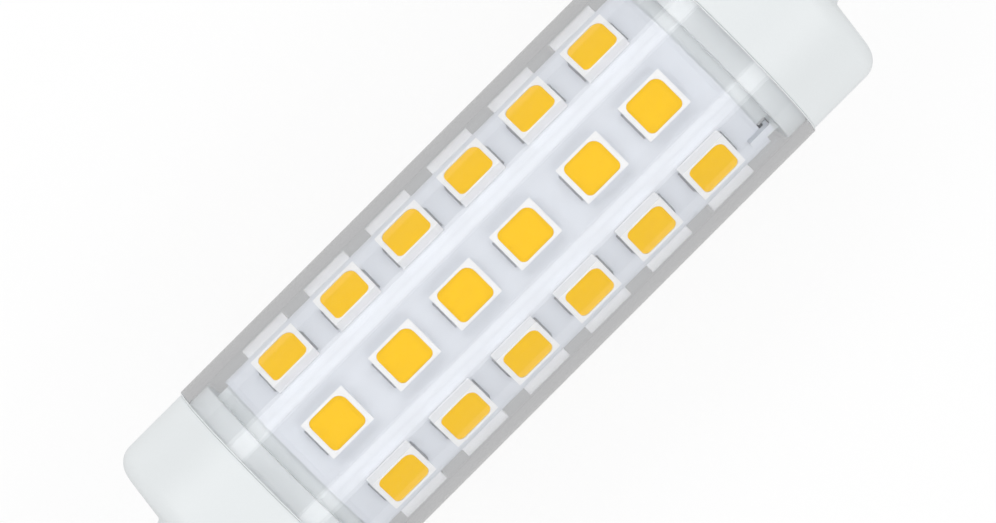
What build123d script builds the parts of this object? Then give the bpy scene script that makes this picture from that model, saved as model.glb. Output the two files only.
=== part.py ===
from build123d import *
from math import cos, radians, sin, sqrt, tan
import os

# The lamp as a whole, in millimetres: its axis runs along X and its middle is the origin
lamp_length = 78.0

# Clear tube
tube_length = 39.7
tube_diameter = 16.5
tube_wall = 0.8

# End caps, outside: side wall, rounded corner, shoulder and neck
cap_length = 5.75
cap_inset = 0.14
cap_corner = 1.3
corner_bands = 3
shoulder_slope = 8.5
neck_diameter = 7.0
neck_edge = 0.3

# End caps, inside: collar in the tube, spigot and eight-sided stop for the LED board, bores
collar_length = 1.65
collar_clearance = 0.1
spigot_length = 2.0
spigot_wall = 1.0
spigot_clearance = 0.1
stop_lip = 0.5
cap_floor = 1.3
neck_wall = 1.3

# Contact pins, pressed into the floors of the recesses at the ends of the necks
recess_depth = 1.55
recess_wall = 1.2
contact_diameter = 2.6
contact_web = 1.2
contact_tail_length = 0.5

# LED board, one strip folded into a prism
facet_count = 8
board_thickness = 0.8
fold_radius = 1.0
seam_width = 0.3

# LED packages and their phosphor windows
led_length = 3.5
led_width = 2.8
led_height = 0.7
leds_per_row = 6
led_end_margin = 2.0
led_tube_gap = 0.115
front_row_shifts = (-0.43, 0.0, -0.13, -0.31, 0.06, 0.04)
window_rim_end = 0.325
window_rim_side = 0.175
window_floor = 0.25
window_corner = 0.4
polarity_corner = 0.65
phosphor_recess = 0.04

# Driver board, carried in the bores of the two spigots, and the spaces between the parts on it
driver_thickness = 1.0
driver_side_gap = 0.05
driver_end_gap = 0.25
part_gap = 0.6

# Chips on the driver board
rectifier_length = 4.7
rectifier_width = 3.9
rectifier_height = 1.4
rectifier_pin_pitch = 2.5
rectifier_pin_width = 0.7
regulator_length = 4.9
regulator_width = 3.9
regulator_height = 1.5
regulator_pin_pitch = 1.27
regulator_pin_width = 0.42
chip_edge = 0.25
chip_pin_reach = 0.9
chip_pin_thickness = 0.25

# Capacitor and fusible resistor on the driver board
capacitor_length = 10.0
capacitor_headroom = 1.7
capacitor_tab_width = 1.2
resistor_diameter = 2.3
resistor_length = 6.0
resistor_lift = 0.2
leg_size = 0.5
leg_reach = 1.2

# Insulated leads to the contacts, and flat strips that feed the LED board
lead_diameter = 1.0
lead_landing = 2.0
feed_thickness = 0.3
feed_width = 0.5
feed_clearance = 0.325
feed_landing = 1.1
feed_shift = 1.45
slot_clearance = 0.1

# Stations along the axis, from the middle outwards
tube_end = tube_length / 2
collar_face = tube_end - collar_length
board_end = collar_face - feed_thickness - 2 * feed_clearance
spigot_face = board_end - spigot_length
corner_x = tube_end + cap_length
cavity_floor = corner_x - cap_floor
driver_end = cavity_floor - driver_end_gap
neck_end = lamp_length / 2
contact_face = neck_end - recess_depth
neck_floor = contact_face - contact_web
contact_tail = neck_floor - contact_tail_length

# Distances from the axis
tube_radius = tube_diameter / 2
bore_radius = tube_radius - tube_wall
collar_radius = bore_radius - collar_clearance
rim_radius = tube_radius - cap_inset
neck_radius = neck_diameter / 2
neck_bore = neck_radius - neck_wall
neck_root_x = corner_x + (rim_radius - neck_radius) * tan(radians(shoulder_slope))
led_top = sqrt((bore_radius - led_tube_gap) ** 2 - (led_width / 2) ** 2)
board_outside = led_top - led_height
board_inside = board_outside - board_thickness
stop_flat = board_inside + stop_lip
spigot_radius = board_inside - spigot_clearance
spigot_bore = spigot_radius - spigot_wall
recess_radius = neck_radius - recess_wall
contact_radius = contact_diameter / 2

# LED grid on one facet, and the depth of a window and its fill
facet_angle = 360 / facet_count
led_room = 2 * (board_end - led_end_margin) - led_length
led_pitch = led_room / (leds_per_row - 1)
window_depth = led_height - window_floor
fill_depth = window_depth - phosphor_recess

# Driver board: its faces, and the parts set out on it from the left spigot
driver_top = -lead_diameter / 2
driver_under = driver_top - driver_thickness
driver_half_width = sqrt(spigot_bore**2 - driver_under**2) - driver_side_gap
layout_start = part_gap - spigot_face
rectifier_x = layout_start + rectifier_length / 2
capacitor_x = layout_start + rectifier_length + part_gap + chip_pin_reach + capacitor_length / 2
capacitor_top = board_inside - capacitor_headroom
capacitor_half_width = sqrt(board_inside**2 - capacitor_top**2) - part_gap
resistor_x = layout_start + leg_reach + leg_size / 2 + resistor_length / 2
resistor_end = resistor_x + resistor_length / 2
resistor_axis = driver_under - resistor_lift - resistor_diameter / 2
leg_x = resistor_end + leg_reach
regulator_x = leg_x + leg_size / 2 + part_gap + regulator_length / 2

# Feed strips: the rows and sideways shifts where they leave the cap, and the room round them
feed_exits = ((1, -feed_shift), (facet_count // 2 - 1, feed_shift))
feed_inner_face = board_end + feed_clearance
feed_outer_face = feed_inner_face + feed_thickness
slot_width = feed_width + 2 * slot_clearance
slot_end = feed_outer_face + slot_clearance


def facet_plane(row, height):
    """A plane square to one facet's normal: X along the lamp, Z outwards."""
    outwards = Vector(0, 0, 1).rotate(Axis.X, row * facet_angle)
    return Plane(origin=outwards * height, x_dir=(1, 0, 0), z_dir=outwards)


def side_plane(row, shift):
    """A plane that cuts one facet lengthwise: X along the lamp, Y outwards from the axis."""
    facet = facet_plane(row, 0)
    return Plane(origin=facet.y_dir * shift, x_dir=facet.x_dir, z_dir=-facet.y_dir)


def led_seats(row):
    """Where the packages of one row sit along their facet; the front row is a little off the grid."""
    shifts = front_row_shifts if row == 0 else (0.0,)
    start = -led_pitch * (leds_per_row - 1) / 2
    return [(start + led_pitch * i + shifts[i % len(shifts)], 0) for i in range(leds_per_row)]


def feed_foot(row, shift):
    """How far out along a facet's normal a feed strip starts, with its edge on the driver board."""
    facet = facet_plane(row, 0)
    edge_drop = abs(facet.y_dir.Z) * feed_width / 2
    above = facet.z_dir.Z > 0
    foot_z = driver_top + edge_drop if above else driver_under - edge_drop
    return (foot_z - shift * facet.y_dir.Z) / facet.z_dir.Z


def corner_points():
    """Points round the corner of the cap, from its side wall to its shoulder."""
    turn = 90 - shoulder_slope
    start = corner_x - cap_corner * tan(radians(turn / 2))
    angles = [radians(turn * i / corner_bands) for i in range(corner_bands + 1)]
    return [(start + cap_corner * sin(a), rim_radius - cap_corner * (1 - cos(a))) for a in angles]


def ring(turned, x, radius):
    """The round edge of a turned piece at one station along the axis."""
    circles = turned.edges().filter_by(GeomType.CIRCLE)
    return circles.filter_by(lambda e: abs(e.arc_center.X - x) < 1e-4 and abs(e.radius - radius) < 1e-4)


# Clear tube
with BuildPart() as clear_tube:
    with BuildSketch(Plane.YZ.offset(-tube_end)):
        Circle(tube_radius)
        Circle(bore_radius, mode=Mode.SUBTRACT)
    extrude(amount=tube_length)
clear_tube.part.label = "clear_tube"

# Right end cap: turned form, stop for the LED board, then the slots for the feed strips
with BuildPart() as right_end_cap:
    with BuildSketch(Plane.XY):
        with BuildLine():
            Polyline(
                (spigot_face, spigot_bore),
                (spigot_face, spigot_radius),
                (collar_face, spigot_radius),
                (collar_face, collar_radius),
                (tube_end, collar_radius),
                (tube_end, rim_radius),
                *corner_points(),
                (neck_root_x, neck_radius),
                (neck_end, neck_radius),
                (neck_end, recess_radius),
                (contact_face, recess_radius),
                (contact_face, contact_radius),
                (neck_floor, contact_radius),
                (neck_floor, neck_bore),
                (cavity_floor, neck_bore),
                (cavity_floor, spigot_bore),
                close=True,
            )
        make_face()
    revolve(axis=Axis.X)
    chamfer(ring(right_end_cap, neck_end, neck_radius), neck_edge)
    with BuildSketch(Plane.YZ.offset(board_end)):
        RegularPolygon(stop_flat, facet_count, major_radius=False, rotation=facet_angle / 2)
        Circle((spigot_bore + spigot_radius) / 2, mode=Mode.SUBTRACT)
    extrude(amount=collar_face - board_end)
    for row, shift in feed_exits:
        with BuildSketch(facet_plane(row, board_outside)):
            with Locations(((spigot_face + slot_end) / 2, shift)):
                Rectangle(slot_end - spigot_face, slot_width)
        extrude(amount=spigot_bore / 2 - board_outside, mode=Mode.SUBTRACT)
right_end_cap.part.label = "right_end_cap"

# Left end cap, the same moulding turned end for end
with BuildPart() as left_end_cap:
    mirror(right_end_cap.part, about=Plane.YZ)
left_end_cap.part.label = "left_end_cap"

# Right contact: a pin flush with the floor of the recess, its tail inside the neck
with BuildPart() as right_contact:
    with BuildSketch(Plane.YZ.offset(contact_tail)):
        Circle(contact_radius)
    extrude(amount=contact_face - contact_tail)
right_contact.part.label = "right_contact"

# Left contact
with BuildPart() as left_contact:
    mirror(right_contact.part, about=Plane.YZ)
left_contact.part.label = "left_contact"

# LED board: folded strip, open along one fold at the back
with BuildPart() as led_board:
    with BuildSketch(Plane.YZ.offset(-board_end)) as board_section:
        RegularPolygon(board_outside, facet_count, major_radius=False, rotation=90 - facet_angle / 2)
        fillet(board_section.vertices(), fold_radius)
        RegularPolygon(
            board_inside,
            facet_count,
            major_radius=False,
            rotation=90 - facet_angle / 2,
            mode=Mode.SUBTRACT,
        )
        with PolarLocations(board_outside, 1, start_angle=-90 - facet_angle / 2):
            Rectangle(4 * board_thickness, seam_width, mode=Mode.SUBTRACT)
    extrude(amount=2 * board_end)
led_board.part.label = "led_board"

# One phosphor window: three plain corners and a larger one that marks the polarity
with BuildSketch() as window:
    Rectangle(led_length - 2 * window_rim_end, led_width - 2 * window_rim_side)
    chamfer(window.vertices().sort_by(lambda v: v.X + v.Y)[-1:], polarity_corner)
    chamfer(window.vertices().sort_by(lambda v: v.X + v.Y)[:3], window_corner)

# LEDs, row by row round the board: white packages, and phosphor in their windows
led_rows = []
for row in range(facet_count):
    seats = led_seats(row)

    with BuildPart() as led_bodies:
        with BuildSketch(facet_plane(row, board_outside)):
            with Locations(*seats):
                Rectangle(led_length, led_width)
        extrude(amount=led_height)
        with BuildSketch(facet_plane(row, led_top)):
            with Locations(*seats):
                add(window.sketch)
        extrude(amount=-window_depth, mode=Mode.SUBTRACT)
    led_bodies.part.label = f"led_bodies_row_{row + 1}"

    with BuildPart() as led_phosphor:
        with BuildSketch(facet_plane(row, led_top - phosphor_recess)):
            with Locations(*seats):
                add(window.sketch)
        extrude(amount=-fill_depth)
    led_phosphor.part.label = f"led_phosphor_row_{row + 1}"

    led_rows += [led_bodies, led_phosphor]

# Driver board
with BuildPart() as driver_board:
    with BuildSketch(Plane.XY.offset(driver_under)):
        Rectangle(2 * driver_end, 2 * driver_half_width)
    extrude(amount=driver_thickness)
driver_board.part.label = "driver_board"

# Bridge rectifier on top of the driver board
with BuildPart() as bridge_rectifier:
    with BuildSketch(Plane.XY.offset(driver_top)):
        with Locations((rectifier_x, 0)):
            Rectangle(rectifier_length, rectifier_width)
    extrude(amount=rectifier_height)
    chamfer(bridge_rectifier.faces().sort_by(Axis.Z)[-1].edges(), chip_edge)
    with BuildSketch(Plane.XY.offset(driver_top)):
        with Locations((rectifier_x, 0)):
            with GridLocations(rectifier_pin_pitch, rectifier_width + chip_pin_reach, 2, 2):
                Rectangle(rectifier_pin_width, chip_pin_reach)
    extrude(amount=chip_pin_thickness)
bridge_rectifier.part.label = "bridge_rectifier"

# Current regulator under the driver board
with BuildPart() as current_regulator:
    with BuildSketch(Plane.XY.offset(driver_under)):
        with Locations((regulator_x, 0)):
            Rectangle(regulator_length, regulator_width)
    extrude(amount=-regulator_height)
    chamfer(current_regulator.faces().sort_by(Axis.Z)[0].edges(), chip_edge)
    with BuildSketch(Plane.XY.offset(driver_under)):
        with Locations((regulator_x, 0)):
            with GridLocations(regulator_pin_pitch, regulator_width + chip_pin_reach, 4, 2):
                Rectangle(regulator_pin_width, chip_pin_reach)
    extrude(amount=-chip_pin_thickness)
current_regulator.part.label = "current_regulator"

# Smoothing capacitor on top of the driver board, with a flat tab at each end
with BuildPart() as smoothing_capacitor:
    with BuildSketch(Plane.XY.offset(driver_top)):
        with Locations((capacitor_x, 0)):
            Rectangle(capacitor_length, 2 * capacitor_half_width)
    extrude(amount=capacitor_top - driver_top)
    chamfer(smoothing_capacitor.faces().sort_by(Axis.Z)[-1].edges(), chip_edge)
    with BuildSketch(Plane.XY.offset(driver_top)):
        with Locations((capacitor_x, 0)):
            with GridLocations(capacitor_length + chip_pin_reach, 0, 2, 1):
                Rectangle(chip_pin_reach, capacitor_tab_width)
    extrude(amount=chip_pin_thickness)
smoothing_capacitor.part.label = "smoothing_capacitor"

# Fusible resistor under the driver board, its legs bent up to it
with BuildPart() as fusible_resistor:
    with BuildSketch(Plane.YZ.offset(resistor_x)):
        with Locations((0, resistor_axis)):
            Circle(resistor_diameter / 2)
    extrude(amount=resistor_length / 2)
    with BuildSketch(Plane.XZ):
        with BuildLine():
            Polyline(
                (resistor_end, resistor_axis - leg_size / 2),
                (leg_x + leg_size / 2, resistor_axis - leg_size / 2),
                (leg_x + leg_size / 2, driver_under),
                (leg_x - leg_size / 2, driver_under),
                (leg_x - leg_size / 2, resistor_axis + leg_size / 2),
                (resistor_end, resistor_axis + leg_size / 2),
                close=True,
            )
        make_face()
    extrude(amount=leg_size / 2, both=True)
    mirror(about=Plane.YZ.offset(resistor_x))
fusible_resistor.part.label = "fusible_resistor"

# Right lead: from the back of the contact through the neck and on to the driver board
with BuildPart() as right_lead:
    with BuildSketch(Plane.YZ.offset(contact_tail)):
        Circle(lead_diameter / 2)
    extrude(amount=driver_end - lead_landing - contact_tail)
right_lead.part.label = "right_lead"

# Left lead
with BuildPart() as left_lead:
    mirror(right_lead.part, about=Plane.YZ)
left_lead.part.label = "left_lead"

# Feed strips: from the driver board out through the slots and back on to the outside of the LED board
feed_strips = []
for polarity, (row, shift) in zip(("positive", "negative"), feed_exits):
    with BuildPart() as feed_strip:
        with BuildSketch(side_plane(row, shift)):
            with BuildLine():
                Polyline(
                    (feed_inner_face, feed_foot(row, shift)),
                    (feed_outer_face, feed_foot(row, shift)),
                    (feed_outer_face, board_outside + feed_thickness),
                    (board_end - feed_landing, board_outside + feed_thickness),
                    (board_end - feed_landing, board_outside),
                    (feed_inner_face, board_outside),
                    close=True,
                )
            make_face()
        extrude(amount=feed_width / 2, both=True)
    feed_strip.part.label = f"{polarity}_feed_strip"
    feed_strips.append(feed_strip)

# One STEP file for each piece
shell_pieces = [clear_tube, left_end_cap, right_end_cap, left_contact, right_contact, led_board]
driver_pieces = [driver_board, bridge_rectifier, current_regulator, smoothing_capacitor, fusible_resistor]
os.makedirs("parts", exist_ok=True)
for piece in shell_pieces + led_rows + driver_pieces + [left_lead, right_lead] + feed_strips:
    export_step(piece.part, f"parts/{piece.part.label}.step")
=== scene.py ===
from math import cos, pi, radians, sin, tan
from typing import NamedTuple

import bmesh
import bpy
from bpy.props import FloatProperty, FloatVectorProperty, IntProperty, PointerProperty
from mathutils import Matrix, Vector


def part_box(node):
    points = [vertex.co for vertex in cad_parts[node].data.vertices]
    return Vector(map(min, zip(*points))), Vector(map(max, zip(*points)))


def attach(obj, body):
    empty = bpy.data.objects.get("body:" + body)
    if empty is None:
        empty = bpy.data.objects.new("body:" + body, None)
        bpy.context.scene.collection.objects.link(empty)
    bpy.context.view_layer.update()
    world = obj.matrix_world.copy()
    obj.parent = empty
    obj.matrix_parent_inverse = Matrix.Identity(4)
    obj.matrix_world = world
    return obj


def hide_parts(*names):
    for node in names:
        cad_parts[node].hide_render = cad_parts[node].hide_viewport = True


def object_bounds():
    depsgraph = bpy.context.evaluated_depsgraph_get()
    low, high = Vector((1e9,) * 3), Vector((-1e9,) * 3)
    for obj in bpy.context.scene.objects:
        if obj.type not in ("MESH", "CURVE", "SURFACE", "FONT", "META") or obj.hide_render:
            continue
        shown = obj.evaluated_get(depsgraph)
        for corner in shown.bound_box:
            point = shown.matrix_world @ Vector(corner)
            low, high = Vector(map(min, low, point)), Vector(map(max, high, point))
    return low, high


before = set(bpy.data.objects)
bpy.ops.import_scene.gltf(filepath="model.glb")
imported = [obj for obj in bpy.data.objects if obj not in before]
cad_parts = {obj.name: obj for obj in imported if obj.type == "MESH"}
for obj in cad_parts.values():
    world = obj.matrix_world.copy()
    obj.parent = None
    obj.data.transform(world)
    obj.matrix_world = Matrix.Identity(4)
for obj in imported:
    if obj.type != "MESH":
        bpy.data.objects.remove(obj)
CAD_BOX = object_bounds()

bl_info = {
    "name": "Linear LED bulb",
    "version": (1, 0, 0),
    "blender": (4, 5, 0),
    "location": "3D View > Sidebar > LED bulb",
    "description": "Dresses the double-ended LED bulb and sets its studio",
    "category": "Object",
}

MM = 0.001

# Distances, in metres, within which points are merged, lie at one place, or lie on the open fold
MERGE = 1e-8
NEAR = 1e-7
FOLD_REACH = 1e-6

# The LED board's facets, each with one row of LEDs
FACETS = 8
HALF_FACET = pi / FACETS
LEDS_IN_ROW = 6

# Places read from the frame
TUBE_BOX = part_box("clear_tube")
CAP_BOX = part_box("right_end_cap")
BOARD_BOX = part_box("led_board")
CONTACT_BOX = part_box("right_contact")
STRIP_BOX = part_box("positive_feed_strip")
FRONT_ROW_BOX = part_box("led_bodies_row_1")
PLAIN_ROW_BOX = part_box("led_bodies_row_3")
BOARD_END = BOARD_BOX[1].x
BOARD_OUTSIDE = BOARD_BOX[1].z


class Texture(NamedTuple):
    """How a finish varies over its surface"""

    dark: float  # darker tone, as a share of the colour
    light: float  # lighter tone, as a share of the colour
    roughness: float  # where it is glossiest
    spread: float  # how much rougher it gets
    grain: float  # scale of the fine grain
    mottle: float  # scale of the broad mottle
    bump: float  # strength of the relief


TEXTURES = {
    "cut_edge": Texture(0.95, 1.05, 0.55, 0.15, 12000, 900, 0.4),
    "cap": Texture(0.97, 1.03, 0.36, 0.14, 9000, 260, 0.25),
    "contact": Texture(0.9, 1.1, 0.4, 0.2, 6000, 900, 0.2),
    "board": Texture(0.97, 1.03, 0.3, 0.15, 7000, 500, 0.2),
    "package": Texture(0.97, 1.02, 0.35, 0.15, 12000, 900, 0.2),
    "phosphor": Texture(1.0, 1.0, 0.45, 0.2, 15000, 1500, 0.5),
    "solder": Texture(0.8, 1.1, 0.3, 0.2, 8000, 1200, 0.3),
    "sealant": Texture(0.96, 1.04, 0.4, 0.15, 7000, 500, 0.3),
    "laminate": Texture(0.8, 1.2, 0.35, 0.2, 5000, 600, 0.3),
    "capacitor": Texture(0.9, 1.1, 0.25, 0.15, 4000, 400, 0.2),
    "resistor": Texture(0.85, 1.1, 0.35, 0.2, 5000, 500, 0.3),
    "chip": Texture(0.7, 1.5, 0.45, 0.2, 9000, 700, 0.4),
    "lead": Texture(0.93, 1.03, 0.4, 0.2, 6000, 300, 0.3),
    "strip": Texture(0.6, 0.8, 0.3, 0.2, 7000, 500, 0.2),
    "clear": Texture(1.0, 1.0, 0.0, 0.05, 2500, 250, 0.0),
}
TEXTURES["feed_solder"] = TEXTURES["solder"]

# Shader values that stay the same all over a finish
METAL = {"Metallic": 1.0}
DULL_RESIN = {"IOR": 1.41, "Specular IOR Level": 0.2}


# Settings that a user would change


def number(name, description, default, **kind):
    """A plain number for a property group."""
    return FloatProperty(name=name, description=description, default=default, **kind)


def length(name, description, default):
    """A size in metres for a property group."""
    return number(name, description, default, precision=6, unit="LENGTH")


def angle(name, description, default):
    """An angle in radians for a property group."""
    return number(name, description, default, subtype="ANGLE")


def colour(name, description, default):
    """A linear colour for a property group."""
    return FloatVectorProperty(
        name=name, description=description, default=default, subtype="COLOR", min=0, max=1
    )


class BulbSizes(bpy.types.PropertyGroup):
    """Sizes of the pieces that are modelled here"""

    turn_steps: IntProperty(
        name="Turn steps", description="Facets round each turned piece", default=192, min=24
    )
    tube_steps: IntProperty(
        name="Tube steps", description="Facets round the clear tube", default=384, min=24
    )
    tube_radius: length("Tube radius", "Outside of the clear tube", TUBE_BOX[1].z)
    tube_half: length("Tube half length", "Middle of the lamp to the tube's end", TUBE_BOX[1].x)
    tube_wall: length("Tube wall", "Thickness of the clear tube", 0.8 * MM)
    tube_edge: length("Tube edge", "Rounding of the tube's cut ends", 0.07 * MM)
    tube_play: length("Tube play", "Gap between the tube's end and the cap's rim", 0.01 * MM)

    cap_inset: length("Cap inset", "How far the cap's side lies inside the tube's", 0.14 * MM)
    cap_length: length("Cap length", "Tube's end to the cap's sharp corner", 5.75 * MM)
    cap_corner: length("Cap corner", "Radius of the cap's rounded corner", 1.3 * MM)
    cap_floor: length("Cap floor", "Thickness of the shoulder", 1.3 * MM)
    rim_edge: length("Rim edge", "Rounding where the cap meets the tube", 0.08 * MM)
    shoulder_slope: angle("Shoulder slope", "Slope of the shoulder to the neck", radians(8.5))
    neck_radius: length("Neck radius", "Outside of the neck", 3.5 * MM)
    neck_root: length("Neck root", "Fillet between the shoulder and the neck", 0.35 * MM)
    neck_edge: length("Neck edge", "Rounding of the neck's end", 0.3 * MM)
    neck_bore: length("Neck bore", "Radius of the hole along the neck", 2.2 * MM)
    recess_radius: length("Recess radius", "Radius of the contact's recess", 2.3 * MM)
    recess_depth: length("Recess depth", "Depth of the contact's recess", 1.55 * MM)
    recess_edge: length("Recess edge", "Rounding of the recess's mouth", 0.12 * MM)
    contact_web: length("Contact web", "Thickness of the floor that holds the contact", 1.2 * MM)
    contact_edge: length("Contact edge", "Rounding of the contact's face", 0.18 * MM)
    contact_dimple: length("Contact dimple", "Depth of the wear dimple in the contact", 0.07 * MM)
    turning_pitch: length("Turning pitch", "Spacing of the contacts' turning marks", 0.06 * MM)
    collar_length: length("Collar length", "Part of the cap that goes into the tube", 1.65 * MM)
    collar_gap: length("Collar gap", "Play between the collar and the tube", 0.1 * MM)
    collar_edge: length("Collar edge", "Rounding of the collar's front edge", 0.12 * MM)
    spigot_gap: length("Spigot gap", "Play between the spigot and the board", 0.1 * MM)
    spigot_wall: length("Spigot wall", "Wall of the spigot", 1.0 * MM)
    stop_lip: length("Stop lip", "Height of the eight-sided stop over the board's inside", 0.5 * MM)

    slot_width: length("Slot width", "Width of the slots for the feed strips", 0.7 * MM)
    slot_end: length("Slot end", "Where the slots stop, from the lamp's middle", 17.975 * MM)
    slot_overrun: length("Slot overrun", "How far the slots' cutter starts early", 1.0 * MM)
    feed_shift: length("Feed shift", "Sideways place of the slots on their facets", 1.45 * MM)
    feed_width: length("Feed width", "Width of a feed strip", 0.5 * MM)
    feed_thickness: length("Feed thickness", "Thickness of a feed strip", 0.3 * MM)
    mask_start: length("Mask start", "Radius where the strips go under white mask", 6.35 * MM)
    mask_full: length("Mask full", "Radius where white mask covers the strips", 6.45 * MM)
    fill_play: length("Fill play", "Hairline between a slot's fill and what it meets", 0.008 * MM)
    fill_depth: length("Fill depth", "Depth of the fills in the slots", 0.45 * MM)
    fill_crown: length("Fill crown", "Rise of the fills over the stop", 0.08 * MM)

    board_thickness: length("Board thickness", "Thickness of the folded board", 0.8 * MM)
    fold_radius: length("Fold radius", "Outer radius of the board's folds", 1.0 * MM)
    seam_width: length("Seam width", "Gap along the board's open fold", 0.3 * MM)
    copper_half: length("Copper half width", "Middle of a facet to the copper's side", 2.2 * MM)
    copper_margin: length("Copper margin", "Bare strip along the board's ends", 0.35 * MM)
    copper_step: length("Copper step", "Width of the mask's rise over the copper", 0.05 * MM)

    led_length: length("LED length", "Package along the lamp", 3.5 * MM)
    led_width: length("LED width", "Package across its facet", 2.8 * MM)
    led_edge: length("LED edge", "Rounding of the package's upright edges", 0.05 * MM)
    window_rim_end: length("Window rim, ends", "Package rim at the window's ends", 0.325 * MM)
    window_rim_side: length("Window rim, sides", "Package rim at the window's sides", 0.175 * MM)
    window_depth: length("Window depth", "Depth of the window in the package", 0.45 * MM)
    window_corner: length("Window corner", "Plain corners of the window", 0.4 * MM)
    polarity_corner: length("Polarity corner", "Corner that marks the polarity", 0.65 * MM)
    phosphor_recess: length("Phosphor recess", "Fill below the package's top", 0.04 * MM)
    phosphor_gap: length("Phosphor gap", "Hairline between the fill and the window", 0.004 * MM)
    hollow_rim: length("Hollow rim", "Width of the fill's steeper rim", 0.1 * MM)
    hollow_rim_drop: length("Hollow rim drop", "Fall of the fill's steeper rim", 0.015 * MM)
    hollow_slope: length("Hollow slope", "Width of the fill's gentle slope", 0.2 * MM)
    hollow_slope_drop: length("Hollow slope drop", "Fall of the fill's gentle slope", 0.01 * MM)
    terminal_height: length("Terminal height", "Solder up the ends of a package", 0.3 * MM)
    terminal_reach: length("Terminal reach", "Solder out from the ends of a package", 0.15 * MM)
    terminal_inset: length("Terminal inset", "Solder's distance from a package's sides", 0.4 * MM)
    terminal_edge: length("Terminal edge", "Rounding of the solder", 0.03 * MM)
    terminal_fall: length("Terminal fall", "Slope's fall to the solder's outer edge", 0.225 * MM)
    terminal_lean: length("Terminal lean", "How far the solder's outer side leans", 0.045 * MM)
    front_row_shifts: FloatVectorProperty(
        name="Front row shifts",
        description="How far the front row's packages sit off the even spacing",
        size=LEDS_IN_ROW,
        default=(-0.43 * MM, 0, -0.13 * MM, -0.31 * MM, 0.06 * MM, 0.04 * MM),
        precision=6,
        unit="LENGTH",
    )


class BulbColours(bpy.types.PropertyGroup):
    """Linear colours of the finishes"""

    tube: colour("Tube", "Clear tube", (0.985, 0.99, 1.0))
    cut_edge: colour("Cut edge", "Frosted ends of the clear tube", (0.82, 0.84, 0.85))
    cap: colour("Cap", "Moulded end caps", (0.76, 0.79, 0.80))
    board: colour("Board", "White solder mask", (0.685, 0.71, 0.755))
    board_trace: colour("Board over copper", "Mask over copper", (0.715, 0.74, 0.785))
    package: colour("Package", "LED packages", (0.89, 0.89, 0.895))
    phosphor: colour("Phosphor", "Denser phosphor", (0.955, 0.545, 0.002))
    phosphor_thin: colour("Thin phosphor", "Thinner phosphor", (0.985, 0.60, 0.002))
    solder: colour("Solder", "Tinned pads and strips", (0.55, 0.55, 0.56))
    sealant: colour("Sealant", "Sealant in the empty slots", (0.66, 0.68, 0.69))
    contact: colour("Contact", "Plated contacts", (0.72, 0.70, 0.64))
    laminate: colour("Laminate", "Driver board", (0.06, 0.22, 0.10))
    chip: colour("Chip", "Moulded chips", (0.025, 0.025, 0.028))
    capacitor: colour("Capacitor", "Capacitor case", (0.42, 0.12, 0.025))
    resistor: colour("Resistor", "Resistor lacquer", (0.16, 0.30, 0.33))
    lead: colour("Lead", "Lead insulation", (0.80, 0.79, 0.75))
    floor: colour("Floor", "Studio floor", (0.90, 0.90, 0.90))


class BulbStudio(bpy.types.PropertyGroup):
    """Floor, lights and camera round the lamp"""

    floor_half: length("Floor half width", "Middle of the floor to its sides", 2.5)
    floor_gap: length("Floor gap", "Floor below the lamp's lowest point", 0.01 * MM)
    light_distance: length("Light distance", "Lamp's axis to each strip light", 0.25)
    light_span: length("Light span", "Strip lights along the lamp", 0.6)
    light_width: length("Light width", "Strip lights across", 0.088)
    light_lean: angle("Light lean", "Strip lights off the vertical", radians(45))
    left_radiance: number("Left radiance", "Brightness of the left strip light", 1.85, min=0)
    right_radiance: number("Right radiance", "Brightness of the right strip light", 1.75, min=0)
    camera_height: length("Camera height", "Camera above the lamp's axis", 0.385)
    camera_turn: angle("Camera turn", "Camera's turn about its own line of sight", radians(-45))
    camera_lens: number("Camera lens", "Focal length", 222.65, unit="CAMERA")


def sizes():
    """The lamp's sizes."""
    return bpy.context.scene.bulb_sizes


def colours():
    """The finishes' colours."""
    return bpy.context.scene.bulb_colours


# Meshes


def verts_of(geometry):
    """The vertices among what a bmesh operator made."""
    return [g for g in geometry if isinstance(g, bmesh.types.BMVert)]


def bevelled(bm, geometry, offset, segments, affect="EDGES"):
    """Rounds edges or corners of a body, and tells what that made."""
    return bmesh.ops.bevel(
        bm,
        geom=geometry,
        offset=offset,
        offset_type="OFFSET",
        affect=affect,
        segments=segments,
        profile=0.5,
        material=-1,
    )


def turned(outline, steps):
    """A closed body from an outline of (x, radius) points turned about the lamp's axis."""
    bm = bmesh.new()
    verts = [bm.verts.new((x, 0, r)) for x, r in outline]
    pairs = zip(verts, verts[1:] + verts[:1])
    edges = [bm.edges.new(pair) for pair in pairs if any(v.co.z > NEAR for v in pair)]
    bmesh.ops.spin(
        bm,
        geom=verts + edges,
        cent=(0, 0, 0),
        axis=(1, 0, 0),
        angle=2 * pi,
        steps=steps,
        use_merge=True,
    )
    bmesh.ops.remove_doubles(bm, verts=bm.verts, dist=MERGE)
    bmesh.ops.recalc_face_normals(bm, faces=bm.faces)
    return bm


def round_rings(bm, places, radius, segments):
    """Rounds the ring edges of a turned body that lie at the given (x, radius) places."""

    def on_ring(edge, x, r):
        return all(
            abs(v.co.x - x) < NEAR and abs(v.co.yz.length - r) < NEAR for v in edge.verts
        )

    edges = [e for e in bm.edges if any(on_ring(e, x, r) for x, r in places)]
    bevelled(bm, edges, radius, segments)


def mirrored(bm):
    """The same body at the lamp's other end."""
    other = bm.copy()
    bmesh.ops.scale(other, vec=(-1, 1, 1), verts=other.verts)
    bmesh.ops.recalc_face_normals(other, faces=other.faces)
    return other


def block(bm, low, high):
    """A box between two corners, added to a body."""
    low, high = Vector(low), Vector(high)
    size = high - low
    place = Matrix.Translation((low + high) / 2) @ Matrix.Diagonal((*size, 1))
    return bmesh.ops.create_cube(bm, size=1, matrix=place)["verts"]


def facet_turn(row):
    """Turns the front facet's place to another row's."""
    return Matrix.Rotation(2 * pi * row / FACETS, 4, "X")


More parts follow.
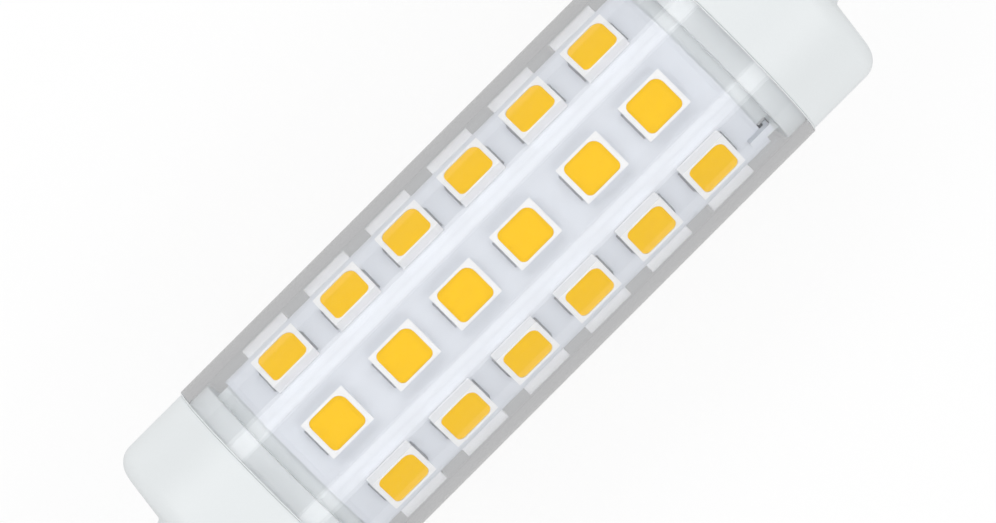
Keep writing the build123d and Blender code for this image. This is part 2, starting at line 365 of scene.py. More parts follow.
def octagon(bm, flat, x):
    """An octagon's edges across the lamp, its sides facing the LED rows at the given distance."""
    verts = bmesh.ops.create_circle(
        bm, cap_ends=False, segments=FACETS, radius=flat / cos(HALF_FACET)
    )["verts"]
    upright = Matrix.Rotation(pi / 2, 4, "Y") @ Matrix.Rotation(HALF_FACET, 4, "Z")
    bmesh.ops.transform(bm, matrix=Matrix.Translation((x, 0, 0)) @ upright, verts=verts)
    edges = {e for v in verts for e in v.link_edges}
    return [e for e in bm.edges if e in edges]


def rounded_face(bm, half_x, half_y, z, corners, segments):
    """A flat face whose corners, from (-, -) round to (-, +), are cut back by the given lengths."""
    verts = bmesh.ops.create_grid(bm, x_segments=1, y_segments=1, size=1)["verts"]
    bmesh.ops.scale(bm, vec=(half_x, half_y, 1), verts=verts)
    bmesh.ops.translate(bm, vec=(0, 0, z), verts=verts)
    found = {(v.co.x > 0, v.co.y > 0): v for v in verts}
    order = ((False, False), (True, False), (True, True), (False, True))
    for sides, cut in zip(order, corners):
        bevelled(bm, [found[sides]], cut, segments, affect="VERTICES")
    return [f for f in bm.faces if abs(f.calc_center_median().z - z) < NEAR]


def window_face(bm, z, shrink):
    """The outline of a package's window as one face."""
    s = sizes()
    half_x = s.led_length / 2 - s.window_rim_end - shrink
    half_y = s.led_width / 2 - s.window_rim_side - shrink
    corners = (s.window_corner, s.window_corner, s.polarity_corner, s.window_corner)
    return rounded_face(bm, half_x, half_y, z, corners, segments=5)


def led_seats(row):
    """Middles of a row's packages along the lamp."""
    s = sizes()
    start = PLAIN_ROW_BOX[0].x + s.led_length / 2
    pitch = (PLAIN_ROW_BOX[1].x - PLAIN_ROW_BOX[0].x - s.led_length) / (LEDS_IN_ROW - 1)
    shifts = s.front_row_shifts if row == 0 else (0,) * LEDS_IN_ROW
    return [start + pitch * i + shifts[i] for i in range(LEDS_IN_ROW)]


def row_of(master, row):
    """A row's worth of copies of a body that is modelled at the middle of the front facet."""
    bm = bmesh.new()
    mesh = bpy.data.meshes.new("one_of_a_row")
    master.to_mesh(mesh)
    for x in led_seats(row):
        before = len(bm.verts)
        bm.from_mesh(mesh)
        bm.verts.ensure_lookup_table()
        place = facet_turn(row) @ Matrix.Translation((x, 0, 0))
        bmesh.ops.transform(bm, matrix=place, verts=bm.verts[before:])
    bpy.data.meshes.remove(mesh)
    return bm


def feed_exits():
    """The rows, and the places across their facets, where the caps have slots for feed strips."""
    shift = sizes().feed_shift
    return ((1, -shift), (3, shift))


def combine(piece, bm, operation):
    """Adds a body to a piece, or cuts it out."""
    mesh = bpy.data.meshes.new("tool_body")
    bm.to_mesh(mesh)
    bm.free()
    tool = bpy.data.objects.new("tool_body", mesh)
    bpy.context.scene.collection.objects.link(tool)
    step = piece.modifiers.new("combine", "BOOLEAN")
    step.operation = operation
    step.solver = "MANIFOLD"
    step.object = tool
    shaped = piece.evaluated_get(bpy.context.evaluated_depsgraph_get())
    result = bpy.data.meshes.new_from_object(shaped)
    old = piece.data
    piece.modifiers.remove(step)
    piece.data = result
    bpy.data.meshes.remove(old)
    result.name = piece.name
    bpy.data.objects.remove(tool)
    bpy.data.meshes.remove(mesh)


def add_piece(name, bm, material, replaced=(), sharp=35, added=None, cut=None):
    """Makes a finished piece of a body, on the lamp; edges over the sharp angle stay crisp."""
    mesh = bpy.data.meshes.new(name)
    bm.to_mesh(mesh)
    bm.free()
    mesh.materials.append(material)
    piece = bpy.data.objects.new(name, mesh)
    bpy.context.scene.collection.objects.link(piece)
    if added:
        combine(piece, added, "UNION")
    if cut:
        combine(piece, cut, "DIFFERENCE")
    piece.data.shade_smooth()
    piece.data.set_sharp_from_angle(angle=radians(sharp))
    even = piece.modifiers.new("even_shading", "WEIGHTED_NORMAL")
    even.keep_sharp = True
    even.weight = 100
    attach(piece, "root")
    if replaced:
        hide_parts(*replaced)
    return piece


# Materials


class Nodes:
    """A short way to lay out the nodes of one material or group."""

    def __init__(self, tree):
        self.tree = tree

    def add(self, kind, **values):
        """A new node with the given settings."""
        node = self.tree.nodes.new(kind)
        for key, value in values.items():
            setattr(node, key, value)
        return node

    def link(self, out_socket, in_socket):
        """Joins two sockets."""
        self.tree.links.new(out_socket, in_socket)

    def feed(self, socket, value):
        """Gives an input another node's output, a number or a colour."""
        if isinstance(value, bpy.types.NodeSocket):
            self.link(value, socket)
        elif socket.type == "RGBA":
            socket.default_value = (*value, 1)
        else:
            socket.default_value = value

    def math(self, operation, *values):
        """A math node's result from sockets and plain numbers."""
        node = self.add("ShaderNodeMath", operation=operation)
        for socket, value in zip(node.inputs, values):
            self.feed(socket, value)
        return node.outputs["Value"]

    def mixed(self, factor, low, high):
        """A colour between two, by a socket."""
        node = self.add("ShaderNodeMix", data_type="RGBA")
        for label, value in (("Factor", factor), ("A", low), ("B", high)):
            self.feed(node.inputs[label], value)
        return node.outputs["Result"]

    def edge(self, value, low, high):
        """A mask that rises smoothly from 0 to 1 between two values."""
        node = self.add("ShaderNodeMapRange", interpolation_type="SMOOTHSTEP")
        for label, level in (("Value", value), ("From Min", low), ("From Max", high)):
            self.feed(node.inputs[label], level)
        return node.outputs["Result"]

    def object_place(self):
        """The surface's place in the piece's own space, which is the lamp's."""
        return self.add("ShaderNodeTexCoord").outputs["Object"]

    def lamp_place(self):
        """Where the surface lies along, out from and across the lamp."""
        node = self.add("ShaderNodeGroup", node_tree=lamp_place_group())
        self.link(self.object_place(), node.inputs["Vector"])
        return node.outputs

    def grain(self, vector, texture):
        """The shared grain with a finish's own values."""
        node = self.add("ShaderNodeGroup", node_tree=surface_grain_group())
        for label, value in (
            ("Vector", vector),
            ("Grain Scale", texture.grain),
            ("Mottle Scale", texture.mottle),
            ("Roughness", texture.roughness),
            ("Roughness Spread", texture.spread),
        ):
            self.feed(node.inputs[label], value)
        return node.outputs

    def show_either(self, factor, first, second):
        """Shows the first shader where a factor is 0, and the second where it is 1."""
        node = self.add("ShaderNodeMixShader")
        self.link(factor, node.inputs["Fac"])
        self.link(first.outputs[0], node.inputs[1])
        self.link(second.outputs[0], node.inputs[2])
        self.link(node.outputs["Shader"], self.tree.nodes["Material Output"].inputs["Surface"])


def new_group(name, inputs, outputs):
    """An empty shader group from a place and numbers to numbers, with its two end nodes."""
    group = bpy.data.node_groups.new(name, "ShaderNodeTree")
    group.interface.new_socket(name="Vector", in_out="INPUT", socket_type="NodeSocketVector")
    for way, labels in (("INPUT", inputs), ("OUTPUT", outputs)):
        for label in labels:
            group.interface.new_socket(name=label, in_out=way, socket_type="NodeSocketFloat")
    nodes = Nodes(group)
    return group, nodes, nodes.add("NodeGroupInput"), nodes.add("NodeGroupOutput")


def surface_grain_group():
    """Fine moulded grain over a broad mottle: a tone from 0 to 1, a height and a roughness."""
    name = "surface_grain"
    if name in bpy.data.node_groups:
        return bpy.data.node_groups[name]
    group, nodes, source, result = new_group(
        name,
        ("Grain Scale", "Mottle Scale", "Roughness", "Roughness Spread"),
        ("Tone", "Height", "Roughness"),
    )
    grain_detail, mottle_detail, grain_share = 3, 4, 0.35
    grain = nodes.add("ShaderNodeTexNoise")
    grain.inputs["Detail"].default_value = grain_detail
    mottle = nodes.add("ShaderNodeTexNoise")
    mottle.inputs["Detail"].default_value = mottle_detail
    for texture, scale in ((grain, "Grain Scale"), (mottle, "Mottle Scale")):
        nodes.link(source.outputs["Vector"], texture.inputs["Vector"])
        nodes.link(source.outputs[scale], texture.inputs["Scale"])
    blend = nodes.add("ShaderNodeMix", data_type="FLOAT")
    blend.inputs["Factor"].default_value = grain_share
    nodes.link(mottle.outputs["Fac"], blend.inputs["A"])
    nodes.link(grain.outputs["Fac"], blend.inputs["B"])
    tone = blend.outputs["Result"]
    roughness = nodes.math(
        "MULTIPLY_ADD", tone, source.outputs["Roughness Spread"], source.outputs["Roughness"]
    )
    nodes.link(tone, result.inputs["Tone"])
    nodes.link(grain.outputs["Fac"], result.inputs["Height"])
    nodes.link(roughness, result.inputs["Roughness"])
    return group


def lamp_place_group():
    """Where a point lies: along the lamp, out from its axis, and across its facet of the board."""
    name = "lamp_place"
    if name in bpy.data.node_groups:
        return bpy.data.node_groups[name]
    group, nodes, source, result = new_group(name, (), ("Along", "Radius", "Across"))
    parts = nodes.add("ShaderNodeSeparateXYZ")
    nodes.link(source.outputs["Vector"], parts.inputs["Vector"])
    section = nodes.add("ShaderNodeCombineXYZ")
    nodes.link(parts.outputs["Y"], section.inputs["Y"])
    nodes.link(parts.outputs["Z"], section.inputs["Z"])
    out = nodes.add("ShaderNodeVectorMath", operation="LENGTH")
    nodes.link(section.outputs["Vector"], out.inputs[0])
    radius = out.outputs["Value"]
    around = nodes.math("ARCTAN2", parts.outputs["Y"], parts.outputs["Z"])
    off_middle = nodes.math("SINE", nodes.math("WRAP", around, HALF_FACET, -HALF_FACET))
    across = nodes.math("ABSOLUTE", nodes.math("MULTIPLY", off_middle, radius))
    nodes.link(nodes.math("ABSOLUTE", parts.outputs["X"]), result.inputs["Along"])
    nodes.link(radius, result.inputs["Radius"])
    nodes.link(across, result.inputs["Across"])
    return group


def new_finish(kind):
    """A new material, its nodes and its shader."""
    material = bpy.data.materials.new(f"{kind}_finish")
    material.use_nodes = True
    return material, Nodes(material.node_tree), material.node_tree.nodes["Principled BSDF"]


def shade(tone, factor):
    """A colour made darker or lighter."""
    return tuple(min(1.0, c * factor) for c in tone)


def grained_material(kind, tone, thin_tone=None, constants=None):
    """A finish between two close tones, with fine grain and uneven gloss."""
    relief_depth = 0.02 * MM
    texture = TEXTURES[kind]
    material, nodes, shader = new_finish(kind)
    for label, value in (constants or {}).items():
        shader.inputs[label].default_value = value
    effect = nodes.grain(nodes.object_place(), texture)
    low, high = shade(tone, texture.dark), shade(thin_tone or tone, texture.light)
    nodes.link(nodes.mixed(effect["Tone"], low, high), shader.inputs["Base Color"])
    nodes.link(effect["Roughness"], shader.inputs["Roughness"])
    relief = nodes.add("ShaderNodeBump", name="Relief")
    relief.inputs["Strength"].default_value = texture.bump
    relief.inputs["Distance"].default_value = relief_depth
    nodes.link(effect["Height"], relief.inputs["Height"])
    nodes.link(relief.outputs["Normal"], shader.inputs["Normal"])
    return material


def over_base(material, mask_of, tone):
    """Lays a second tone over a finish where a mask of the lamp's places is 1."""
    nodes = Nodes(material.node_tree)
    base = material.node_tree.nodes["Principled BSDF"].inputs["Base Color"]
    below = base.links[0].from_socket
    mask = mask_of(nodes, nodes.lamp_place())
    nodes.link(nodes.mixed(mask, below, tone), base)
    return mask


def add_relief(material, height, strength):
    """Adds a height to a finish's fine relief."""
    nodes = Nodes(material.node_tree)
    socket = material.node_tree.nodes["Relief"].inputs["Height"]
    grain = socket.links[0].from_socket
    nodes.link(nodes.math("MULTIPLY_ADD", height, strength, grain), socket)


def clear_material():
    """Clear tube with faint drawing streaks, which lets the lights through to what is inside."""
    stretch = (0.03, 1, 1)
    material, nodes, shader = new_finish("clear")
    shader.inputs["Base Color"].default_value = (*colours().tube, 1)
    shader.inputs["IOR"].default_value = 1.5
    shader.inputs["Transmission Weight"].default_value = 1.0
    along = nodes.add("ShaderNodeMapping")
    along.inputs["Scale"].default_value = stretch
    nodes.link(nodes.object_place(), along.inputs["Vector"])
    streaks = nodes.grain(along.outputs["Vector"], TEXTURES["clear"])
    nodes.link(streaks["Roughness"], shader.inputs["Roughness"])
    rays = nodes.add("ShaderNodeLightPath")
    through = nodes.add("ShaderNodeBsdfTransparent")
    nodes.show_either(rays.outputs["Is Shadow Ray"], shader, through)
    return material


# Operators, one for each piece or group of like pieces


class BULB_OT_clear_tube(bpy.types.Operator):
    """Clear tube with rounded, frosted ends"""

    bl_idname = "bulb.clear_tube"
    bl_label = "Clear tube"

    def execute(self, context):
        s = sizes()
        end = s.tube_half - s.tube_play
        bore = s.tube_radius - s.tube_wall
        corners = [(-end, bore), (-end, s.tube_radius), (end, s.tube_radius), (end, bore)]
        bm = turned(corners, s.tube_steps)
        round_rings(bm, corners, s.tube_edge, segments=3)
        for face in bm.faces:
            face.material_index = int(abs(face.calc_center_median().x) > end - s.tube_edge)
        frosted = grained_material("cut_edge", colours().cut_edge)
        sleeve = add_piece("clear_sleeve", bm, clear_material(), ("clear_tube",))
        sleeve.data.materials.append(frosted)
        return {"FINISHED"}


class BULB_OT_end_caps(bpy.types.Operator):
    """Moulded end caps: side, rounded shoulder, neck, recess, collar, spigot, stop and slots"""

    bl_idname = "bulb.end_caps"
    bl_label = "End caps"

    def execute(self, context):
        s = sizes()
        rim = s.tube_radius - s.cap_inset
        collar = s.tube_radius - s.tube_wall - s.collar_gap
        collar_x = s.tube_half - s.collar_length
        spigot_x = CAP_BOX[0].x
        board_in = BOARD_OUTSIDE - s.board_thickness
        spigot = board_in - s.spigot_gap
        cavity = spigot - s.spigot_wall
        corner_x = s.tube_half + s.cap_length
        cavity_x = corner_x - s.cap_floor
        root_x = corner_x + (rim - s.neck_radius) * tan(s.shoulder_slope)
        end = CAP_BOX[1].x
        floor_x = end - s.recess_depth
        web_x = floor_x - s.contact_web
        contact = CONTACT_BOX[1].z
        bm = turned(
            [
                (spigot_x, cavity),
                (spigot_x, spigot),
                (collar_x, spigot),
                (collar_x, collar),
                (s.tube_half, collar),
                (s.tube_half, rim),
                (corner_x, rim),
                (root_x, s.neck_radius),
                (end, s.neck_radius),
                (end, s.recess_radius),
                (floor_x, s.recess_radius),
                (floor_x, contact),
                (web_x, contact),
                (web_x, s.neck_bore),
                (cavity_x, s.neck_bore),
                (cavity_x, cavity),
            ],
            s.turn_steps,
        )
        corner_cut = s.cap_corner * tan((pi / 2 - s.shoulder_slope) / 2)
        round_rings(bm, [(corner_x, rim)], corner_cut, segments=10)
        round_rings(bm, [(root_x, s.neck_radius)], s.neck_root, segments=5)
        round_rings(bm, [(end, s.neck_radius)], s.neck_edge, segments=4)
        round_rings(bm, [(end, s.recess_radius)], s.recess_edge, segments=3)
        round_rings(bm, [(s.tube_half, rim)], s.rim_edge, segments=3)
        round_rings(bm, [(collar_x, collar)], s.collar_edge, segments=3)

        # The stop starts inside the spigot's wall and runs on into the collar, to join both
        stop_inside = (3 * cavity + spigot) / 4
        stop_length = collar_x + s.spigot_wall - BOARD_END
        stop = bmesh.new()
        loops = octagon(stop, board_in + s.stop_lip, BOARD_END)
        loops += octagon(stop, stop_inside, BOARD_END)
        front = bmesh.ops.bridge_loops(stop, edges=loops)["faces"]
        back = bmesh.ops.extrude_face_region(stop, geom=front)["geom"]
        bmesh.ops.translate(stop, vec=(stop_length, 0, 0), verts=verts_of(back))
        bmesh.ops.recalc_face_normals(stop, faces=stop.faces)

        slot_floor = cavity / 2
        slots = bmesh.new()
        for row, shift in feed_exits():
            slot = block(
                slots,
                (spigot_x - s.slot_overrun, shift - s.slot_width / 2, slot_floor),
                (s.slot_end, shift + s.slot_width / 2, BOARD_OUTSIDE),
            )
            bmesh.ops.transform(slots, matrix=facet_turn(row), verts=slot)

        # Painted shade: the cap is darkened where it lies inside the tube, from the board's end
        # outwards, fading away towards the tube's end
        def painted_shade_under_tube(nodes, at):
            covered = nodes.edge(at["Along"], s.tube_half, s.tube_half - s.collar_length / 2)
            past_board = nodes.edge(at["Along"], BOARD_END - s.tube_edge, BOARD_END)
            return nodes.math("MULTIPLY", covered, past_board)

        tone = colours().cap
        # How dark the painted shade inside the tube is, as a share of the cap's colour
        painted_shade_level = 0.92
        plastic = grained_material("cap", tone)
        over_base(plastic, painted_shade_under_tube, shade(tone, painted_shade_level))
        for side, body, added, cut in (
            ("left", mirrored(bm), mirrored(stop), mirrored(slots)),
            ("right", bm, stop, slots),
        ):
            node = f"{side}_end_cap"
            add_piece(f"{side}_cap", body, plastic, (node,), added=added, cut=cut)
        return {"FINISHED"}


class BULB_OT_contacts(bpy.types.Operator):
    """Plated contacts with turning marks"""

    bl_idname = "bulb.contacts"
    bl_label = "Contacts"

    def execute(self, context):
        s = sizes()
        face, tail, radius = CONTACT_BOX[1].x, CONTACT_BOX[0].x, CONTACT_BOX[1].z
        dimple_rim = radius / 2
        bm = turned(
            [
                (tail, 0),
                (tail, radius),
                (face, radius),
                (face, dimple_rim),
                (face - s.contact_dimple, 0),
            ],
            s.turn_steps,
        )
        round_rings(bm, [(face, radius)], s.contact_edge, segments=4)
        metal = grained_material("contact", colours().contact, constants=METAL)
        nodes = Nodes(metal.node_tree)
        turns = nodes.math("MULTIPLY", nodes.lamp_place()["Radius"], 2 * pi / s.turning_pitch)
        add_relief(metal, nodes.math("SINE", turns), strength=0.6)
        for side, body in (("left", mirrored(bm)), ("right", bm)):
            add_piece(f"{side}_pin", body, metal, (f"{side}_contact",))
        return {"FINISHED"}


class BULB_OT_led_board(bpy.types.Operator):
    """Folded LED board under white solder mask"""

    bl_idname = "bulb.led_board"
    bl_label = "LED board"

    def execute(self, context):
        s = sizes()
        bm = bmesh.new()
        section = octagon(bm, BOARD_OUTSIDE, -BOARD_END)
        walls = bmesh.ops.extrude_edge_only(bm, edges=section)["geom"]
        bmesh.ops.translate(bm, vec=(2 * BOARD_END, 0, 0), verts=verts_of(walls))
        seam_at = Vector((0, -tan(HALF_FACET), -1)) * BOARD_OUTSIDE

        def along_lamp():
            return [e for e in bm.edges if abs(e.verts[0].co.x - e.verts[1].co.x) > BOARD_END]

        def from_seam(edge):
            return (Vector((0, *edge.verts[0].co.yz)) - seam_at).length

        folds = [e for e in along_lamp() if from_seam(e) > FOLD_REACH]
        bevelled(bm, folds, s.fold_radius * tan(HALF_FACET), segments=6)
        seam = [e for e in along_lamp() if from_seam(e) < FOLD_REACH]
        opened = bevelled(bm, seam, s.seam_width / 2 / cos(HALF_FACET), segments=1)
        bmesh.ops.delete(bm, geom=opened["faces"], context="FACES")
        bmesh.ops.recalc_face_normals(bm, faces=bm.faces)
        first = next(iter(bm.faces))
        if first.normal.dot(Vector((0, *first.calc_center_median().yz))) < 0:
            bmesh.ops.reverse_faces(bm, faces=bm.faces)
        bmesh.ops.solidify(bm, geom=bm.faces, thickness=s.board_thickness)

        def copper(nodes, at):
            copper_end = BOARD_END - s.copper_margin
            inside = nodes.edge(at["Across"], s.copper_half + s.copper_step, s.copper_half)
            ends = nodes.edge(at["Along"], copper_end, copper_end - s.copper_step)
            return nodes.math("MULTIPLY", inside, ends)

        c = colours()
        white = grained_material("board", c.board)
        add_relief(white, over_base(white, copper, c.board_trace), strength=1.5)
        add_piece("folded_board", bm, white, ("led_board",), sharp=30)
        return {"FINISHED"}


class BULB_OT_led_packages(bpy.types.Operator):
    """White LED packages with their windows"""

    bl_idname = "bulb.led_packages"
    bl_label = "LED packages"

    def execute(self, context):
        s = sizes()
        low, top = FRONT_ROW_BOX[0].z, FRONT_ROW_BOX[1].z
        bm = bmesh.new()
        outer = rounded_face(
            bm, s.led_length / 2, s.led_width / 2, top, (s.led_edge,) * 4, segments=2
        )
        outer_edges = list(outer[0].edges)
        bmesh.ops.delete(bm, geom=outer, context="FACES_ONLY")
        inner = window_face(bm, top, shrink=0)
        inner_edges = list(inner[0].edges)
        bmesh.ops.delete(bm, geom=inner, context="FACES_ONLY")
        bmesh.ops.bridge_loops(bm, edges=outer_edges + inner_edges)
        for edges, depth in ((outer_edges, top - low), (inner_edges, s.window_depth)):
            wall = bmesh.ops.extrude_edge_only(bm, edges=edges)["geom"]
            bmesh.ops.translate(bm, vec=(0, 0, -depth), verts=verts_of(wall))
            rim = [g for g in wall if isinstance(g, bmesh.types.BMEdge) and g.is_boundary]
            bmesh.ops.contextual_create(bm, geom=rim)
        bmesh.ops.recalc_face_normals(bm, faces=bm.faces)
        white = grained_material("package", colours().package)
        for row in range(FACETS):
            name, node = f"packages_row_{row + 1}", f"led_bodies_row_{row + 1}"
            add_piece(name, row_of(bm, row), white, (node,), sharp=40)
        bm.free()
        return {"FINISHED"}


class BULB_OT_led_phosphor(bpy.types.Operator):
    """Phosphor fill in the windows, a little hollow"""

    bl_idname = "bulb.led_phosphor"
    bl_label = "LED phosphor"

    def execute(self, context):
        s = sizes()
        top = FRONT_ROW_BOX[1].z - s.phosphor_recess
        depth = s.window_depth - s.phosphor_recess - s.phosphor_gap
        bm = bmesh.new()
        fill = window_face(bm, top, s.phosphor_gap)
        wall = bmesh.ops.extrude_face_region(bm, geom=fill)["geom"]
        bmesh.ops.translate(bm, vec=(0, 0, -depth), verts=verts_of(wall))
        bmesh.ops.recalc_face_normals(bm, faces=bm.faces)
        lid = [f for f in bm.faces if abs(f.calc_center_median().z - top) < NEAR]
        for width, drop in (
            (s.hollow_rim, s.hollow_rim_drop),
            (s.hollow_slope, s.hollow_slope_drop),
        ):
            bmesh.ops.inset_region(bm, faces=lid, thickness=width, use_even_offset=True)
            bmesh.ops.translate(bm, vec=(0, 0, -drop), verts=lid[0].verts)
        c = colours()
        yellow = grained_material("phosphor", c.phosphor, c.phosphor_thin, DULL_RESIN)
        for row in range(FACETS):
            name, node = f"fill_row_{row + 1}", f"led_phosphor_row_{row + 1}"
            add_piece(name, row_of(bm, row), yellow, (node,), sharp=50)
        bm.free()
        return {"FINISHED"}


class BULB_OT_led_solder(bpy.types.Operator):
    """Solder at the packages' ends; the front row hides its right pads, so it has the left only"""

    bl_idname = "bulb.led_solder"
    bl_label = "LED solder"

    def execute(self, context):
        tin = grained_material("solder", colours().solder, constants=METAL)
        for ways, rows in (((-1,), range(1)), ((-1, 1), range(1, FACETS))):
            bm = self.fillets(ways)
            for row in rows:
                add_piece(f"solder_row_{row + 1}", row_of(bm, row), tin, sharp=40)
            bm.free()
        return {"FINISHED"}

    def fillets(self, ways):
        """Sloped solder at a package's left (-1) and right (1) ends."""
        s = sizes()
        low = FRONT_ROW_BOX[0].z
        high = low + s.terminal_height
        half = s.led_width / 2 - s.terminal_inset
        bm = bmesh.new()
        for way in ways:
            end = way * s.led_length / 2
            out = end + way * s.terminal_reach
            verts = block(bm, (min(end, out), -half, low), (max(end, out), half, high))
            outer_top = [v for v in verts if abs(v.co.x - out) < NEAR and v.co.z > low + NEAR]
            slope = (-way * s.terminal_lean, 0, -s.terminal_fall)
            bmesh.ops.translate(bm, vec=slope, verts=outer_top)
        bevelled(bm, list(bm.edges), s.terminal_edge, segments=2)
        return bm


class BULB_OT_slot_fills(bpy.types.Operator):
    """Solder round the feed strips in the right cap's slots, and sealant in the left cap's"""

    bl_idname = "bulb.slot_fills"
    bl_label = "Slot fills"

    def execute(self, context):
        s = sizes()
        start = BOARD_END + s.fill_play
        end = s.slot_end - s.fill_play
        half = s.slot_width / 2 - s.fill_play
        level = BOARD_OUTSIDE - s.board_thickness + s.stop_lip
        strip_end = STRIP_BOX[1].x + s.fill_play
        strip_start = STRIP_BOX[1].x - s.feed_thickness - s.fill_play
        strip_half = s.feed_width / 2 + s.fill_play
        fills, strips = bmesh.new(), bmesh.new()
        for row, shift in feed_exits():
            before = len(fills.verts)
            fill = block(
                fills, (start, shift - half, level - s.fill_depth), (end, shift + half, level)
            )
            faces = {f for v in fill for f in v.link_faces}
            top = max(faces, key=lambda f: f.calc_center_median().z)
            bmesh.ops.inset_region(fills, faces=[top], thickness=half / 3, use_even_offset=True)
            bmesh.ops.translate(fills, vec=(0, 0, s.fill_crown), verts=top.verts)
            fills.verts.ensure_lookup_table()
            bmesh.ops.transform(fills, matrix=facet_turn(row), verts=fills.verts[before:])
            strip = block(
                strips,
                (strip_start, shift - strip_half, level - 2 * s.fill_depth),
                (strip_end, shift + strip_half, level + s.fill_depth),
            )
            bmesh.ops.transform(strips, matrix=facet_turn(row), verts=strip)
        white = grained_material("sealant", colours().sealant)
        add_piece("left_slot_sealant", mirrored(fills), white)
        tin = grained_material("feed_solder", colours().solder, constants=METAL)
        add_piece("feed_solder", fills, tin, cut=strips)
        return {"FINISHED"}


class BULB_OT_driver(bpy.types.Operator):
    """Finishes of the driver, the leads and the feed strips inside"""

    bl_idname = "bulb.driver"
    bl_label = "Driver"

    def execute(self, context):
        c = colours()
        for kind, tone, nodes in (
            ("laminate", c.laminate, ("driver_board",)),
            ("capacitor", c.capacitor, ("smoothing_capacitor",)),
            ("resistor", c.resistor, ("fusible_resistor",)),
            ("chip", c.chip, ("bridge_rectifier", "current_regulator")),
            ("lead", c.lead, ("left_lead", "right_lead")),
        ):
            self.dress(nodes, grained_material(kind, tone))
        self.dress(("positive_feed_strip", "negative_feed_strip"), self.strip_material())
        return {"FINISHED"}

    def strip_material(self):
        """Tinned strip that goes under the board's white mask where it lands."""
        s, c = sizes(), colours()
        material = grained_material("strip", c.solder)

        def landing(nodes, at):
            return nodes.edge(at["Radius"], s.mask_start, s.mask_full)

        covered = over_base(material, landing, c.board_trace)
        nodes = Nodes(material.node_tree)
        metallic = material.node_tree.nodes["Principled BSDF"].inputs["Metallic"]
        nodes.link(nodes.math("SUBTRACT", 1.0, covered), metallic)
        return material

    def dress(self, nodes, material):
        """Gives CAD nodes their finish."""
        for node in nodes:
            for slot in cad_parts[node].material_slots:
                slot.link = "OBJECT"
                slot.material = material


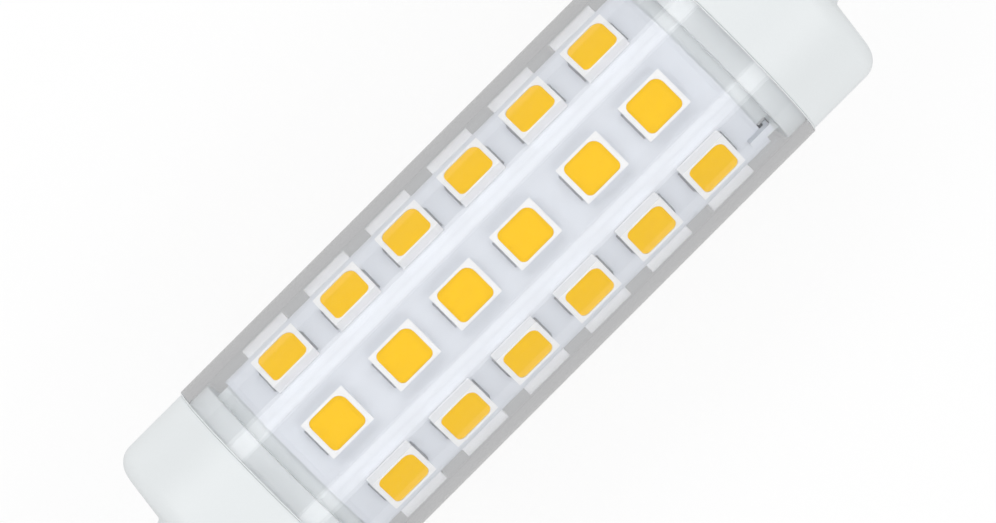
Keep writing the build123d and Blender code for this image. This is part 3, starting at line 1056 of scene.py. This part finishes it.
class BULB_OT_stage(bpy.types.Operator):
    """Pale floor, two long strip lights, a soft sky and the camera"""

    bl_idname = "bulb.stage"
    bl_label = "Stage"

    def execute(self, context):
        scene = context.scene
        studio = scene.bulb_studio
        bm = bmesh.new()
        bmesh.ops.create_grid(bm, x_segments=1, y_segments=1, size=studio.floor_half)
        bmesh.ops.translate(bm, vec=(0, 0, CAD_BOX[0].z - studio.floor_gap), verts=bm.verts)
        mesh = bpy.data.meshes.new("floor")
        bm.to_mesh(mesh)
        bm.free()
        mesh.materials.append(self.floor_material())
        floor = bpy.data.objects.new("floor", mesh)
        scene.collection.objects.link(floor)

        self.strip_light(scene, "strip_left", studio.light_lean, studio.left_radiance)
        self.strip_light(scene, "strip_right", -studio.light_lean, studio.right_radiance)
        self.sky(scene)

        camera = bpy.data.cameras.new("camera")
        camera.sensor_width = 36
        camera.lens = studio.camera_lens
        camera.clip_start = 0.01
        camera.clip_end = 10
        holder = bpy.data.objects.new("camera", camera)
        holder.location = (0, 0, studio.camera_height)
        holder.rotation_euler = (0, 0, studio.camera_turn)
        scene.collection.objects.link(holder)
        scene.camera = holder
        scene.view_settings.view_transform = "Standard"
        return {"FINISHED"}

    def floor_material(self):
        """Matt floor that looks near white to the camera and a soft grey through the tube."""
        material, nodes, shader = new_finish("floor")
        shader.inputs["Base Color"].default_value = (*colours().floor, 1)
        shader.inputs["Roughness"].default_value = 0.9
        shader.inputs["Specular IOR Level"].default_value = 0.0
        glow = nodes.add("ShaderNodeEmission")
        glow_share = self.by_ray(nodes, plain=0.0, glossy=1.0, through=1.0, camera=0.9)
        level = self.by_ray(nodes, plain=1.0, glossy=0.7, through=0.47, camera=1.0)
        nodes.link(level, glow.inputs["Strength"])
        nodes.show_either(glow_share, shader, glow)
        return material

    def by_ray(self, nodes, plain, glossy, through, camera):
        """A value for each kind of ray; light that a surface has spread meets the plain one."""
        rays = nodes.add("ShaderNodeLightPath")
        value = plain
        for kind, level in (
            ("Is Glossy Ray", glossy),
            ("Is Transmission Ray", through),
            ("Is Camera Ray", camera),
            ("Diffuse Depth", plain),
        ):
            pick = nodes.add("ShaderNodeMix", data_type="FLOAT")
            nodes.link(rays.outputs[kind], pick.inputs["Factor"])
            nodes.feed(pick.inputs["A"], value)
            nodes.feed(pick.inputs["B"], level)
            value = pick.outputs["Result"]
        return value

    def strip_light(self, scene, name, lean, radiance):
        """A strip light along the lamp that leans off the vertical and faces the axis."""
        studio = scene.bulb_studio
        light = bpy.data.lights.new(name, "AREA")
        light.shape = "RECTANGLE"
        light.size = studio.light_span
        light.size_y = studio.light_width
        light.energy = radiance * pi * studio.light_span * studio.light_width
        holder = bpy.data.objects.new(name, light)
        holder.location = Vector((0, sin(lean), cos(lean))) * studio.light_distance
        holder.rotation_euler = (-lean, 0, 0)
        holder.visible_camera = False
        scene.collection.objects.link(holder)

    def sky(self, scene):
        """Even sky, white to the camera and dimmer to rays that the tube bends or reflects."""
        world = bpy.data.worlds.new("studio")
        scene.world = world
        world.use_nodes = True
        nodes = Nodes(world.node_tree)
        soft = world.node_tree.nodes["Background"]
        soft.inputs["Color"].default_value = (1, 1, 1, 1)
        level = self.by_ray(nodes, plain=0.72, glossy=0.18, through=0.54, camera=1.0)
        nodes.link(level, soft.inputs["Strength"])


PIECE_OPERATORS = (
    BULB_OT_stage,
    BULB_OT_clear_tube,
    BULB_OT_end_caps,
    BULB_OT_contacts,
    BULB_OT_led_board,
    BULB_OT_led_packages,
    BULB_OT_led_phosphor,
    BULB_OT_led_solder,
    BULB_OT_slot_fills,
    BULB_OT_driver,
)


class BULB_PT_build(bpy.types.Panel):
    """The bulb's settings, and the buttons that make its pieces"""

    bl_idname = "BULB_PT_build"
    bl_label = "Linear LED bulb"
    bl_space_type = "VIEW_3D"
    bl_region_type = "UI"
    bl_category = "LED bulb"

    def draw(self, context):
        scene = context.scene
        for operator in PIECE_OPERATORS:
            self.layout.operator(operator.bl_idname)
        for group in (scene.bulb_sizes, scene.bulb_colours, scene.bulb_studio):
            box = self.layout.box()
            for name in type(group).__annotations__:
                box.prop(group, name)


CLASSES = (BulbSizes, BulbColours, BulbStudio, *PIECE_OPERATORS, BULB_PT_build)


def register():
    for cls in CLASSES:
        bpy.utils.register_class(cls)
    bpy.types.Scene.bulb_sizes = PointerProperty(type=BulbSizes)
    bpy.types.Scene.bulb_colours = PointerProperty(type=BulbColours)
    bpy.types.Scene.bulb_studio = PointerProperty(type=BulbStudio)


def unregister():
    del bpy.types.Scene.bulb_studio
    del bpy.types.Scene.bulb_colours
    del bpy.types.Scene.bulb_sizes
    for cls in reversed(CLASSES):
        bpy.utils.unregister_class(cls)


def main():
    register()
    bpy.ops.bulb.stage()
    bpy.ops.bulb.clear_tube()
    bpy.ops.bulb.end_caps()
    bpy.ops.bulb.contacts()
    bpy.ops.bulb.led_board()
    bpy.ops.bulb.led_packages()
    bpy.ops.bulb.led_phosphor()
    bpy.ops.bulb.led_solder()
    bpy.ops.bulb.slot_fills()
    bpy.ops.bulb.driver()


if __name__ == "__main__":
    main()
